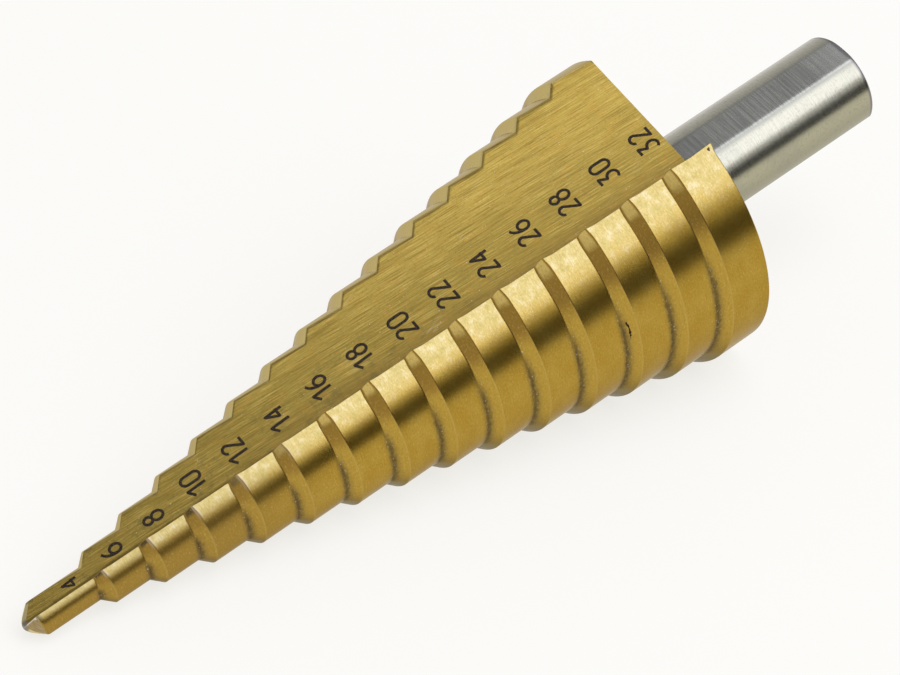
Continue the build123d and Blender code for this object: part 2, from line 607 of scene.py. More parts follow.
class Paint:
    """A thin wrapper around one material's nodes, so that each finish reads as a recipe."""

    def __init__(self, name):
        self.material = bpy.data.materials.new(name)
        self.material.use_nodes = True
        self.nodes = self.material.node_tree.nodes
        self.links = self.material.node_tree.links
        self.surface = self.nodes["Principled BSDF"]

    def feed(self, socket, value):
        """Gives a socket another node's output, or a plain value."""
        if isinstance(value, bpy.types.NodeSocket):
            self.links.new(value, socket)
        else:
            socket.default_value = value

    def add(self, kind, settings=None, **inputs):
        """A node with its settings, and its inputs given as values or as other outputs."""
        node = self.nodes.new("ShaderNode" + kind)
        for label, value in (settings or {}).items():
            setattr(node, label, value)
        for label, value in inputs.items():
            self.feed(node.inputs[label.replace("_", " ")], value)
        return node

    def math(self, operation, first, second=0.0):
        """One sum on two values or outputs."""
        node = self.add("Math", {"operation": operation})
        self.feed(node.inputs[0], first)
        self.feed(node.inputs[1], second)
        return node.outputs[0]

    def plus(self, first, second):
        return self.math("ADD", first, second)

    def minus(self, first, second):
        return self.math("SUBTRACT", first, second)

    def times(self, first, second):
        return self.math("MULTIPLY", first, second)

    def range(self, value, low, high, to_low=0.0, to_high=1.0):
        """value between low and high, carried smoothly to another range and held there."""
        node = self.add("MapRange", {"interpolation_type": "SMOOTHSTEP"}, Value=value,
                        From_Min=low, From_Max=high, To_Min=to_low, To_Max=to_high)
        return node.outputs["Result"]

    def mix(self, share, first, second):
        """A colour between two colours."""
        node = self.add("Mix", {"data_type": "RGBA"})
        for index, value in ((0, share), (6, first), (7, second)):
            self.feed(node.inputs[index], value)
        return node.outputs[2]

    def numbers(self, label):
        """The three numbers that every point of a piece holds under this label."""
        read = self.add("Attribute", {"attribute_name": label})
        split = self.add("SeparateXYZ", Vector=read.outputs["Vector"])
        return read.outputs["Vector"], split.outputs

    def noise(self, place, scale, detail=2.0, rough=0.5):
        """Smooth noise at a place, where scale is three factors for the three directions."""
        stretch = self.add("Mapping", Vector=place, Scale=scale)
        cloud = self.add("TexNoise", Vector=stretch.outputs["Vector"], Scale=1.0,
                         Detail=detail, Roughness=rough)
        return cloud.outputs["Fac"]

    def bump(self, height, distance, strength):
        """Small relief from a height, with its depth in metres."""
        node = self.add("Bump", Height=height, Distance=distance, Strength=strength)
        self.links.new(node.outputs["Normal"], self.surface.inputs["Normal"])

    def finish(self, colour, rough, metallic=1.0):
        """Gives the surface its colour and roughness. The result is the material."""
        self.feed(self.surface.inputs["Base Color"], colour)
        self.feed(self.surface.inputs["Roughness"], rough)
        self.surface.inputs["Metallic"].default_value = metallic
        return self.material


gold = (0.41, 0.25, 0.030, 1.0)
deep_gold = (0.29, 0.165, 0.018, 1.0)
pale_gold = (0.45, 0.29, 0.045, 1.0)
bright_gold = (0.72, 0.53, 0.16, 1.0)
worn_white = (0.70, 0.63, 0.55, 1.0)
worn_grey = (0.27, 0.25, 0.21, 1.0)
print("red, green and blue of the gold", gold[:3])

# %% [markdown]
# ### The turned lands and ramps
#
# A land is paler beside its cutting edge: partly wear from rubbing in the hole, and partly a
# painted highlight laid on the lamp's bright band. The small steps are browner, and the ramps
# are a deeper gold. All of this follows the numbers that every point holds, so one finish covers
# fifteen steps. First come the things that all its layers look at: fine turning marks, clouds and
# grit, and whether a place is on a ramp. On a ramp its distances to the two corners add up to the
# length of the ramp, and on a land they add up to more.

# %% Plain tone of the turned coat
from types import SimpleNamespace

rubbed_highlight_gold = (0.42, 0.33, 0.13, 1.0)
chalky_gold = (0.54, 0.49, 0.33, 1.0)
greenish_gold = (0.31, 0.26, 0.085, 1.0)
ramp_gold = (0.315, 0.185, 0.032, 1.0)
bronze_gold = (0.34, 0.21, 0.040, 1.0)
small_step_from, small_step_to = 34.0, 18.0       # along the axis


def look_around(paint):
    """What the layers of the turned coat look at."""
    at = SimpleNamespace()
    at.place, (at.across, at.along, at.edge) = paint.numbers("grain")
    at.inner, at.outer, at.turn = paint.numbers("corners")[1]
    at.marks = paint.noise(at.place, (0.9, 7.0, 0.0), 3.0)
    at.clouds = paint.noise(at.place, (0.35, 0.5, 0.0), 3.0)
    at.grit = paint.noise(at.place, (3.5, 6.0, 0.0), 3.0, 0.7)
    at.on_ramp = paint.range(paint.plus(at.inner, at.outer), 1.28, 1.12)
    at.small_step = paint.range(at.along, small_step_from, small_step_to)
    at.ragged = paint.plus(at.turn, paint.times(at.clouds, 0.12))
    at.wander = paint.times(paint.minus(at.grit, 0.5), 0.30)
    return at


def lands_and_ramps(paint, at):
    """Lands paler beside the cutting edge from wear and a painted highlight, browner small steps and deeper
    ramps.
    """
    on_land = paint.minus(1.0, at.on_ramp)
    # Paler beside the cutting edge: partly wear, partly a painted highlight.
    rubbed_and_highlight = paint.times(paint.range(at.ragged, 0.46, 0.18), on_land)
    tone = paint.mix(paint.range(at.clouds, 0.35, 0.7), gold, pale_gold)
    tone = paint.mix(paint.times(at.small_step, 0.9), tone, bronze_gold)
    tone = paint.mix(rubbed_and_highlight, tone, rubbed_highlight_gold)
    rubs = paint.noise(at.place, (1.0, 1.0, 0.0), 4.0, 0.65)
    pale_rub = paint.times(paint.range(rubs, 0.48, 0.72, 0.0, 0.6), rubbed_and_highlight)
    tone = paint.mix(pale_rub, tone, chalky_gold)
    green_rub = paint.times(paint.range(rubs, 0.52, 0.30, 0.0, 0.7), rubbed_and_highlight)
    tone = paint.mix(green_rub, tone, greenish_gold)
    ramp_tone = paint.mix(paint.range(at.ragged, 0.40, 0.60), ramp_gold, pale_gold)
    ramp_tone = paint.mix(paint.times(at.small_step, 0.6), ramp_tone, bronze_gold)
    return paint.mix(at.on_ramp, tone, ramp_tone)


print("ramps start in mm", [round(start, 2) for start in ramp_starts[:3]], "and so on")

# %% [markdown]
# Wear, dirt and painted light lie on top of that. The lip of each ramp is bright where it cuts,
# partly wear and partly a painted highlight, and dark on the small steps. The outer corners have
# a fine pale line, partly worn-through coat and partly a painted highlight. Dirt gathers where
# nothing rubs it off: in the inner corners, on the side that is turned away from the cutting
# edge, over a soft painted shade. Noise added to each distance makes every border ragged,
# because no real wear ends in a clean line.

# %% Wear, dirt, painted highlights and painted shade of the turned coat
cream_highlight_gold = (0.64, 0.52, 0.24, 1.0)
burr_grey = (0.48, 0.39, 0.27, 1.0)
heel_gold = (0.58, 0.48, 0.21, 1.0)
corner_shade_brown = (0.15, 0.105, 0.038, 1.0)
grime = (0.060, 0.045, 0.024, 1.0)


def lip_highlights_and_grime(paint, at, tone):
    """The cutting end of each ramp, away from its two corners: pale on the large steps, partly wear and
    partly a painted highlight, and grime on the small steps.
    """
    at_lip = paint.times(paint.range(at.ragged, 0.22, 0.13), at.on_ramp)
    at_lip = paint.times(at_lip, paint.range(at.outer, 0.04, 0.22))
    at_lip = paint.times(at_lip, paint.range(at.inner, 0.06, 0.26))
    # A painted highlight with some wear on the large steps, grime on the small ones.
    lip_highlight_and_grime = paint.mix(at.small_step, bright_gold, grime)
    return paint.mix(paint.times(at_lip, 0.9), tone, lip_highlight_and_grime)


def fine_grain(paint, at, tone):
    """Grit and turning marks, dark and bright."""
    tone = paint.mix(paint.range(at.grit, 0.50, 0.25, 0.0, 0.45), tone, deep_gold)
    tone = paint.mix(paint.range(at.grit, 0.50, 0.80, 0.0, 0.45), tone, bright_gold)
    return paint.mix(paint.range(at.marks, 0.5, 0.3, 0.0, 0.2), tone, deep_gold)


def worn_corners(paint, at, tone):
    """A thin pale line on the outer corners, partly worn coat and partly a painted highlight, and bare burrs
    on the small steps.
    """
    ragged_outer = paint.plus(at.outer, at.wander)
    # The pale line on the outer corners is partly worn coat and partly a painted highlight.
    worn = paint.times(paint.range(ragged_outer, 0.12, 0.0),
                       paint.range(at.turn, 0.3, 0.45, 0.0, 0.12))
    tone = paint.mix(worn, tone, cream_highlight_gold)
    burr = paint.times(paint.range(at.turn, 0.34, 0.14), at.small_step)
    burr = paint.times(burr, paint.range(ragged_outer, 0.28, 0.08))
    return paint.mix(paint.times(burr, 0.6), tone, burr_grey)


def dirt_and_corner_shade(paint, at, tone):
    """A soft painted shade and grimy dirt in the inner corners, with a few pale specks in the dirt."""
    heel_side = paint.range(at.turn, 1.50, 1.66)
    tone = paint.mix(paint.times(heel_side, 0.8), tone, heel_gold)
    low_side = paint.times(paint.range(at.turn, 0.45, 0.85), paint.minus(1.0, heel_side))
    # A soft painted shade in the inner corners, on the side away from the cutting edge.
    soft_corner_shade = paint.times(paint.range(at.inner, 0.75, 0.0, 0.0, 0.5), low_side)
    tone = paint.mix(soft_corner_shade, tone, corner_shade_brown)
    dirt = paint.noise(at.place, (1.8, 3.6, 0.0), 4.0, 0.75)
    ragged_inner = paint.plus(at.inner, dirt)
    at.dirty = paint.times(paint.range(ragged_inner, 0.95, 0.40), low_side)
    tone = paint.mix(paint.times(at.dirty, 0.7), tone, grime)
    specks = paint.range(paint.noise(at.place, (4.5, 4.5, 0.0), 1.0), 0.67, 0.72)
    specks = paint.times(specks, paint.range(at.inner, 0.5, 0.1))
    specks = paint.times(specks, paint.range(at.turn, 0.3, 0.5, 0.0, 0.55))
    return paint.mix(specks, tone, worn_white)


print("dirt gathers beside", len(ramp_starts), "ramps on each half")

# %% [markdown]
# Two marks appear only once. A dark scratch crosses the ramp between the steps marked 26 and 28:
# a bent line, whose bend is the square of the distance from its middle. A small dark chip
# sits at the rear cutting corner: a circle with a ragged edge. Both look shallow, so they are
# painted.
#
# The last layer makes up for the lighting. Without it the lower outline came out paler than
# in the photo, because the white table is reflected there. So the coat is painted darker
# where it faces the table. It is not a colour that the photo shows on the metal itself.

# %% The scratch, the chip and the underside
scratch_brown = (0.035, 0.016, 0.006, 1.0)
under_brown = (0.10, 0.066, 0.024, 1.0)
scratch_along, scratch_across = 60.53, 10.7       # where its middle lies
scratch_slowness, scratch_sag = 0.9, 0.13         # how its bend grows
chip_from_edge, chip_from_rear = 0.45, 0.42
chip_raggedness = 0.16


def old_damage(paint, at, tone):
    """The dark scratch on one ramp and the chip at the rear cutting corner."""
    bend = paint.times(paint.minus(at.across, scratch_across), scratch_slowness)
    bend = paint.times(bend, bend)
    line = paint.plus(at.along, paint.times(bend, scratch_sag))
    line = paint.plus(paint.math("ABSOLUTE", paint.minus(line, scratch_along)), at.wander)
    scratch = paint.times(paint.range(line, 0.08, 0.04), paint.range(bend, 1.0, 0.7))
    chip_x = paint.minus(at.edge, chip_from_edge)
    chip_y = paint.minus(at.along, head_length - chip_from_rear)
    chip = paint.plus(paint.times(chip_x, chip_x), paint.times(chip_y, chip_y))
    chip = paint.plus(chip, paint.times(at.grit, chip_raggedness))
    chip = paint.times(paint.range(chip, 0.115, 0.085), paint.range(at.across, 3.0, 1.5))
    return paint.mix(paint.math("MAXIMUM", scratch, chip), tone, scratch_brown)


def dark_underside(paint, at, tone):
    """Darker where the surface faces the table, most of all on the ramps."""
    facing = paint.add("TexCoord").outputs["Normal"]
    facing_up = paint.add("SeparateXYZ", Vector=facing).outputs["Z"]
    facing_up = paint.minus(facing_up, paint.times(at.on_ramp, 0.14))
    under = paint.plus(0.35, paint.times(at.on_ramp, 0.6))
    under = paint.times(under, paint.range(facing_up, -0.42, -0.85))
    return paint.mix(under, tone, under_brown)


def turned_gold():
    """The whole coat on the lands and ramps."""
    paint = Paint("turned gold coat")
    at = look_around(paint)
    tone = lands_and_ramps(paint, at)
    for layer in (lip_highlights_and_grime, fine_grain, worn_corners, dirt_and_corner_shade, old_damage,
                  dark_underside):
        tone = layer(paint, at, tone)
    rough = paint.plus(paint.range(at.grit, 0.3, 0.7, 0.26, 0.27),
                       paint.times(at.small_step, 0.07))
    rough = paint.plus(rough, paint.times(at.dirty, 0.2))
    paint.surface.inputs["Coat Weight"].default_value = 0.08
    paint.surface.inputs["Coat Roughness"].default_value = 0.3
    paint.surface.inputs["Specular Tint"].default_value = (0.70, 0.64, 0.52, 1.0)
    paint.bump(paint.plus(at.marks, paint.times(at.grit, 0.25)), 0.00001, 0.10)
    return paint.finish(tone, rough)


turned_coat = turned_gold()
print("nodes in the turned coat", len(turned_coat.node_tree.nodes))

# %% [markdown]
# ### The brushed flute walls
#
# The flutes were ground along their length, so their marks are long lines that slant a little
# against the axis. Stretched noise gives such lines: it changes quickly across and very slowly
# along. Deep in the flute the coat is darker and more olive, a painted shade of the recess, and
# next to the root a painted shade darkens it further. There are brown patches, dark stains near
# the root, a few pale specks and hardly visible scratches that cross the lines.

# %% The coat on the flute walls
wall_gold = (0.46, 0.325, 0.072, 1.0)
root_shade_olive = (0.315, 0.225, 0.048, 1.0)
dark_olive = (0.19, 0.125, 0.026, 1.0)
brown_gold = (0.44, 0.24, 0.045, 1.0)
shade_brown = (0.17, 0.10, 0.026, 1.0)
stain_olive = (0.13, 0.105, 0.035, 1.0)
brush_slant, scratch_slant = 0.06, -0.35          # across, for each millimetre along


def slanted(paint, across, along, slant):
    """A place on the wall for marks that slant against the axis."""
    shifted = paint.plus(across, paint.times(along, slant))
    return paint.add("CombineXYZ", X=shifted, Y=along).outputs["Vector"]


def root_shade_and_stains(paint, place, across, along, edge, tone):
    """Painted shade near the root, a worn line at the edge, and stains."""
    shade = paint.times(paint.range(across, 2.8, 0.7, 0.0, 0.45),
                        paint.range(along, 12.0, 40.0, 0.15, 1.0))
    tone = paint.mix(shade, tone, shade_brown)
    tone = paint.mix(paint.range(edge, 0.10, 0.02, 0.0, 0.15), tone, worn_white)
    stains = paint.range(paint.noise(place, (0.55, 0.40, 0.0), 5.0, 0.8), 0.50, 0.64)
    stains = paint.times(stains, paint.range(across, 7.0, 2.0))
    stains = paint.times(stains, paint.range(along, 60.0, 40.0, 0.15, 0.55))
    return paint.mix(stains, tone, stain_olive)


def specks_and_scratches(paint, place, across, along, tone):
    """Pale specks, and rare scratches where a noise crosses its middle value."""
    specks = paint.noise(place, (5.0, 5.0, 0.0), 1.0)
    tone = paint.mix(paint.range(specks, 0.74, 0.78, 0.0, 0.6), tone, worn_white)
    crossing = slanted(paint, across, along, scratch_slant)
    scratches = paint.noise(crossing, (1.6, 0.05, 0.0), 1.0)
    scratches = paint.math("ABSOLUTE", paint.minus(scratches, 0.5))
    rare = paint.range(paint.noise(place, (0.35, 0.3, 0.0), 1.0), 0.61, 0.66)
    scratches = paint.times(paint.range(scratches, 0.010, 0.002), rare)
    return paint.mix(paint.times(scratches, 0.1), tone, worn_white)


def brushed_gold():
    """The coat on the flute walls and cutting faces, with long brush marks along them."""
    paint = Paint("brushed gold coat")
    place, (across, along, edge) = paint.numbers("grain")
    brushed = slanted(paint, across, along, brush_slant)
    lines = paint.noise(brushed, (11.0, 0.25, 0.0), 4.0, 0.7)
    wide_lines = paint.noise(brushed, (1.8, 0.10, 0.0), 3.0, 0.6)
    clouds = paint.noise(place, (0.30, 0.16, 0.0), 3.0)
    patches = paint.noise(place, (1.3, 0.6, 0.0), 4.0, 0.7)
    grit = paint.noise(place, (4.0, 4.0, 0.0), 3.0, 0.7)
    # Darker and more olive towards the root: painted shade of the recess.
    depth = paint.plus(across, paint.times(clouds, 2.5))
    tone = paint.mix(paint.range(depth, 4.5, 12.5), root_shade_olive, wall_gold)
    tone = paint.mix(paint.range(patches, 0.48, 0.66, 0.0, 0.4), tone, brown_gold)
    tone = paint.mix(paint.range(lines, 0.54, 0.30, 0.0, 0.85), tone, dark_olive)
    tone = paint.mix(paint.range(lines, 0.50, 0.75, 0.0, 0.75), tone, bright_gold)
    tone = paint.mix(paint.range(wide_lines, 0.5, 0.3, 0.0, 0.4), tone, dark_olive)
    tone = paint.mix(paint.range(grit, 0.5, 0.3, 0.0, 0.4), tone, dark_olive)
    tone = root_shade_and_stains(paint, place, across, along, edge, tone)
    tone = specks_and_scratches(paint, place, across, along, tone)
    paint.bump(lines, 0.00003, 0.5)
    return paint.finish(tone, paint.range(lines, 0.3, 0.7, 0.3, 0.4))


brushed_coat = brushed_gold()
print("nodes in the brushed coat", len(brushed_coat.node_tree.nodes))

# %% [markdown]
# ### The ground point
#
# The flanks of the point do the first cutting. Their coat looks worn grey at the rim and at
# the web between the lips, and through to white metal along the lips themselves. The small
# gash has a painted highlight where it catches the light.

# %% The coat on the point
flank_dark, flank_pale = (0.30, 0.215, 0.10, 1.0), (0.41, 0.305, 0.14, 1.0)
gash_highlight = (0.72, 0.60, 0.30, 1.0)


def ground_gold():
    """The coat on the point's flanks, worn through at the lips."""
    paint = Paint("ground gold coat")
    place, (across, along, edge) = paint.numbers("grain")
    marks = paint.noise(place, (8.0, 1.5, 0.0), 3.0)
    tone = paint.mix(paint.range(marks, 0.35, 0.65), flank_dark, flank_pale)
    ragged_edge = paint.plus(edge, paint.times(marks, 0.2))
    tone = paint.mix(paint.range(ragged_edge, 0.42, 0.24, 0.0, 0.5), tone, worn_grey)
    from_lip = paint.math("ABSOLUTE", along)
    # A painted highlight on the gash.
    gash = paint.range(paint.math("ABSOLUTE", across), 0.48, 0.34)
    gash = paint.times(gash, paint.range(from_lip, 0.30, 0.50, 0.0, 0.9))
    gash = paint.times(gash, paint.range(from_lip, 6.0, 4.0))
    tone = paint.mix(gash, tone, gash_highlight)
    from_lip = paint.plus(from_lip, paint.times(marks, 0.08))
    from_lip = paint.minus(from_lip, paint.range(edge, 0.55, 0.25, 0.0, 0.14))
    tone = paint.mix(paint.range(from_lip, 0.19, 0.06), tone, worn_white)
    web = paint.range(edge, 1.30, 1.65)
    tone = paint.mix(paint.times(web, 0.8), tone, worn_grey)
    paint.bump(marks, 0.00002, 0.4)
    return paint.finish(tone, 0.42)


ground_coat = ground_gold()
print("nodes in the coat of the point", len(ground_coat.node_tree.nodes))

# %% [markdown]
# ### The flat ends
#
# The photo doesn't show the rear face of the head or the end of the shank, so their look is a
# guess: such faces are usually turned flat in a lathe, which leaves fine rings around the
# axis. The distance from the centre, fed into noise, gives rings. The place
# is read in metres here, so the noise is scaled up a lot.

# %% Finish for faced ends, and the head as an object
ring_fineness, cloud_fineness = 9000.0, 400.0     # per metre


def faced_end(name, centre, dark, pale):
    """A flat end, faced in a lathe: fine rings around its centre."""
    paint = Paint(name)
    place = paint.add("TexCoord").outputs["Object"]
    away = paint.add("VectorMath", {"operation": "DISTANCE"}, Vector=place)
    away.inputs[1].default_value = centre
    distance = paint.add("CombineXYZ", X=away.outputs["Value"]).outputs["Vector"]
    marks = paint.noise(distance, (ring_fineness, 0.0, 0.0), 3.0, 0.6)
    clouds = paint.noise(place, (cloud_fineness, cloud_fineness, cloud_fineness), 3.0)
    tone = paint.mix(paint.range(marks, 0.35, 0.65), dark, pale)
    tone = paint.mix(paint.range(clouds, 0.5, 0.3, 0.0, 0.4), tone, dark)
    paint.bump(marks, 0.00001, 0.3)
    return paint.finish(tone, 0.36)


rear_dark, rear_pale = (0.33, 0.21, 0.040, 1.0), (0.45, 0.30, 0.065, 1.0)
rear_gold = faced_end("faced gold coat", tip + axis * head_length * mm, rear_dark, rear_pale)
head = make_piece(
    "stepped_head", points, faces, finishes, {"grain": grain, "corners": corners},
    [turned_coat, brushed_coat, ground_coat, rear_gold],
)
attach(head, "root")
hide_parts("step_drill")

# %% [markdown]
# ## The shank
#
# The shank is a cylinder with three flats, so one outline serves for its whole length: at each
# angle the radius is that of the cylinder, or that of the flat where the flat lies inside it.
# The corners between them are soft on the real bar. A smooth minimum of the two radii gives
# such corners: it is a little less than the smaller one only where both are nearly the same.
# A few smaller rings round off the end.

# %% Rings of the shank
shank_turns = 240
end_rounding = 0.3
flat_softness = 0.025        # how soft the corners beside the flats are
inside_head = 0.5            # the shank starts a little inside the head
straight_parts, rounding_parts = 24, 6


def shank_outline(radius):
    """One ring of the shank: a circle with three flats cut off it, and slightly soft corners."""
    turn = 2 * pi * np.arange(shank_turns) / shank_turns
    from_flat = (turn - shank_flat_turn + pi / 3) % (2 * pi / 3) - pi / 3
    flat_reach = shank_flat_height / np.cos(from_flat)
    limit = np.exp(-radius / flat_softness) + np.exp(-flat_reach / flat_softness)
    limit = -flat_softness * np.log(limit)
    return np.stack([limit * np.cos(turn), limit * np.sin(turn), from_flat], axis=1)


straight = shank_length - end_rounding
shank_rings = [(head_length - inside_head, shank_radius)]
shank_rings += [(head_length + straight * step / straight_parts, shank_radius)
                for step in range(1, straight_parts)]
shank_rings.append((head_length + straight - guard, shank_radius))
for step in range(rounding_parts + 1):
    turn = pi / 2 * step / rounding_parts
    shank_rings.append((head_length + straight + end_rounding * sin(turn),
                        shank_radius - end_rounding * (1 - cos(turn))))
print("rings along the shank", len(shank_rings))

# %% [markdown]
# The shank's points hold numbers as well: the distance around and along it, the distance from
# its end, the angle from the nearest flat, and how far the side faces up.

# %% Mesh of the shank
SIDE, END = 0, 1
shank_end = head_length + shank_length
shank_points, shank_grain, shank_kinds = [], [], []
shank_faces, shank_finishes = [], []
for height, radius in shank_rings:
    for place, (x, y, from_flat) in enumerate(shank_outline(radius)):
        shank_points.append((x, y, height))
        shank_grain.append([2 * pi * shank_radius * place / shank_turns, height,
                            shank_end - height])
        facing = side_way.z * y + lip_way.z * x
        shank_kinds.append([abs(from_flat), facing / shank_radius, from_flat])
for ring in range(len(shank_rings) - 1):
    for place in range(shank_turns):
        nearby = (place + 1) % shank_turns
        low, high = ring * shank_turns, (ring + 1) * shank_turns
        shank_faces.append((low + place, low + nearby, high + nearby, high + place))
        shank_finishes.append(SIDE)
for ring, height in ((0, shank_rings[0][0]), (len(shank_rings) - 1, shank_end)):
    centre = len(shank_points)
    shank_points.append((0.0, 0.0, height))
    shank_grain.append([0.0, height, shank_end - height])
    shank_kinds.append([1.0, 0.0, 0.0])
    for place in range(shank_turns):
        nearby = (place + 1) % shank_turns
        shank_faces.append((ring * shank_turns + place, ring * shank_turns + nearby, centre))
        shank_finishes.append(END)
print("points of the shank", len(shank_points), "faces", len(shank_faces))

# %% [markdown]
# The shank is bare steel, and in the photo it isn't neutral: the round parts are greyer above
# and olive below. Here that is painted: a painted shade with a warm painted reflection of the
# table on the lower side, and a painted shade beside one edge of each flat. The flats are
# duller, with marks of their own, a pale end, a painted highlight along one edge and a dark
# painted shade beside the head.

# %% Steel of the shank
steel_dark, steel_pale = (0.40, 0.385, 0.315, 1.0), (0.47, 0.455, 0.375, 1.0)
steel_side_shade, steel_underside_shade = (0.43, 0.41, 0.285, 1.0), (0.35, 0.33, 0.225, 1.0)
steel_speck, beside_flat_shade = (0.22, 0.21, 0.17, 1.0), (0.20, 0.20, 0.18, 1.0)
flat_dark, flat_pale = (0.29, 0.29, 0.26, 1.0), (0.43, 0.43, 0.39, 1.0)
flat_edge_highlight, flat_shade = (0.60, 0.60, 0.55, 1.0), (0.17, 0.17, 0.155, 1.0)
flat_end = (0.62, 0.62, 0.57, 1.0)
cloud_grey, end_line = (0.24, 0.235, 0.22, 1.0), (0.13, 0.11, 0.15, 1.0)


def round_steel(paint, place, marks, facing_up, turn):
    """The round parts, painted darker and more olive towards the lower side, and with a painted shade beside
    one edge of each flat.
    """
    specks = paint.noise(place, (3.0, 3.0, 0.0), 3.0, 0.7)
    tone = paint.mix(paint.range(marks, 0.35, 0.65), steel_dark, steel_pale)
    # Painted shade and a painted warm reflection of the table, by how far the side faces up.
    tone = paint.mix(paint.range(facing_up, 0.50, 0.30), tone, steel_side_shade)
    tone = paint.mix(paint.range(facing_up, 0.25, -0.15), tone, steel_underside_shade)
    tone = paint.mix(paint.range(specks, 0.5, 0.3, 0.0, 0.35), tone, steel_speck)
    # A painted shade on the round part beside one edge of each flat.
    beside = paint.range(turn, radians(27), radians(20), 0.0, 0.65)
    beside = paint.times(beside, paint.range(turn, radians(14), radians(18)))
    return paint.mix(beside, tone, beside_flat_shade)


def flat_steel(paint, place, turn, edge):
    """The flats, from their painted shade beside the head to their pale end, with a painted highlight along
    one edge.
    """
    lines = paint.noise(place, (0.15, 5.0, 0.0), 4.0, 0.75)
    tone = paint.mix(paint.range(lines, 0.38, 0.62), flat_dark, flat_pale)
    # A painted highlight along one edge of each flat.
    tone = paint.mix(paint.range(turn, radians(-13), radians(-18), 0.0, 0.4), tone, flat_edge_highlight)
    tone = paint.mix(paint.range(edge, 16.0, 24.0, 0.0, 0.7), tone, flat_shade)
    return paint.mix(paint.range(edge, 7.0, 0.0, 0.0, 0.5), tone, flat_end)


def bare_steel():
    """Ground steel, with fine marks that run around the shank and duller flats."""
    paint = Paint("bare ground steel")
    place, (across, along, edge) = paint.numbers("grain")
    from_flat, facing_up, turn = paint.numbers("kinds")[1]
    marks = paint.noise(place, (0.30, 8.0, 0.0), 4.0, 0.7)
    clouds = paint.noise(place, (0.25, 0.20, 0.0), 3.0)
    on_flat = paint.range(from_flat, radians(21.5), radians(16.5))
    tone = paint.mix(on_flat, round_steel(paint, place, marks, facing_up, turn),
                     flat_steel(paint, place, turn, edge))
    tone = paint.mix(paint.range(clouds, 0.5, 0.3, 0.0, 0.2), tone, cloud_grey)
    tone = paint.mix(paint.range(edge, 0.55, 0.30, 0.0, 0.6), tone, end_line)
    paint.bump(marks, 0.00001, 0.2)
    return paint.finish(tone, paint.range(marks, 0.3, 0.7, 0.23, 0.26))


end_dark, end_pale = (0.30, 0.29, 0.27, 1.0), (0.45, 0.44, 0.41, 1.0)
end_steel = faced_end("faced steel", mounts["shank_end"]["pos_m"], end_dark, end_pale)
shank = make_piece("plain_shank", shank_points, shank_faces, shank_finishes,
                   {"grain": shank_grain, "kinds": shank_kinds}, [bare_steel(), end_steel])
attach(shank, "root")
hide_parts("step_drill")

# %% [markdown]
# ## The numbers
#
# Beside each step the hole's diameter is marked on the flute wall, in plain single-stroke
# figures, so each figure is a list of strokes, and a stroke is a few straight
# runs and arcs. A curve with a round bevel gives each stroke its width and its round look.
# It is turned into a mesh, pressed flat to a hundredth of a millimetre, and laid on the wall.

# %% Figures and where they go
figure_height = 1.95
figure_width = 0.86
figure_advance = 1.33
stroke_width = 0.28
half_width = figure_width / 2
point_spacing = 0.05         # along a stroke


def arc(x, y, across, up, start, end):
    """Points along part of an ellipse, with its angles in degrees."""
    count = max(4, int(abs(end - start) / 12))
    turns = [radians(start + (end - start) * step / count) for step in range(count + 1)]
    return [(x + across * cos(turn), y + up * sin(turn)) for turn in turns]


def figure_strokes(figure):
    """The strokes of one figure, as lists of points around its own centre line."""
    top = figure_height
    side = half_width
    if figure == "0":
        outline = arc(0, top - 0.5, side, 0.5, 0, 180) + arc(0, 0.5, side, 0.5, 180, 360)
        return [outline + outline[:1]]
    if figure == "1":
        return [[(-0.32, top - 0.50), (0.34, top), (0.40, 0)]]
    if figure == "2":
        crown = arc(0, top - side, side - 0.02, side, 170, -25)
        return [crown + [(-side, 0), (side + 0.02, 0)]]
    if figure == "3":
        bowl = arc(-0.04, 0.56, 0.46, 0.56, 85, -140)
        return [[(-side + 0.08, top), (side - 0.10, top), (-0.06, top - 0.78)] + bowl]
    if figure == "4":
        return [[(0.30, 0), (0.22, top - 0.15), (-0.40, 0.58), (0.46, 0.58)]]
    if figure == "6":
        back = arc(0.34, 0.62, 0.77, top - 0.62, 98, 180)
        return [back + arc(0, 0.56, side, 0.56, 190, 540)]
    if figure == "8":
        upper = arc(0, top - 0.42, 0.35, 0.42, -90, 270)
        lower = arc(0, 0.56, side, 0.56, 90, 450)
        return [upper, lower]
    raise ValueError("no such figure: " + figure)


def closer_points(stroke):
    """The same stroke with a point every few hundredths, so that corners stay as wide as runs."""
    points = [Vector(stroke[0])]
    for end in stroke[1:]:
        start, end = points[-1], Vector(end)
        count = max(1, round((end - start).length / point_spacing))
        points += [start.lerp(end, step / count) for step in range(1, count + 1)]
    return points


print("strokes in an 8", len(figure_strokes("8")), "points in the first",
      len(closer_points(figure_strokes("8")[0])))


# %% [markdown]
# The marks are nearly black and dull, as laser marks are. So their finish isn't a metal, it
# hardly shines, and it is a little uneven along each stroke.

# %% Finish of the marks
oxide_black, oxide_brown = (0.010, 0.006, 0.005, 1.0), (0.070, 0.045, 0.022, 1.0)
spot_fineness = 9000.0       # per metre


def laser_black():
    """Dark brownish oxide, a little uneven along each stroke."""
    paint = Paint("laser mark")
    place = paint.add("TexCoord").outputs["Object"]
    spots = paint.noise(place, (spot_fineness, spot_fineness, spot_fineness), 2.0)
    tone = paint.mix(paint.range(spots, 0.35, 0.75), oxide_black, oxide_brown)
    paint.surface.inputs["Specular IOR Level"].default_value = 0.2
    return paint.finish(tone, 0.6, metallic=0.0)


mark_paint = laser_black()
print("nodes in the finish of the marks", len(mark_paint.node_tree.nodes))

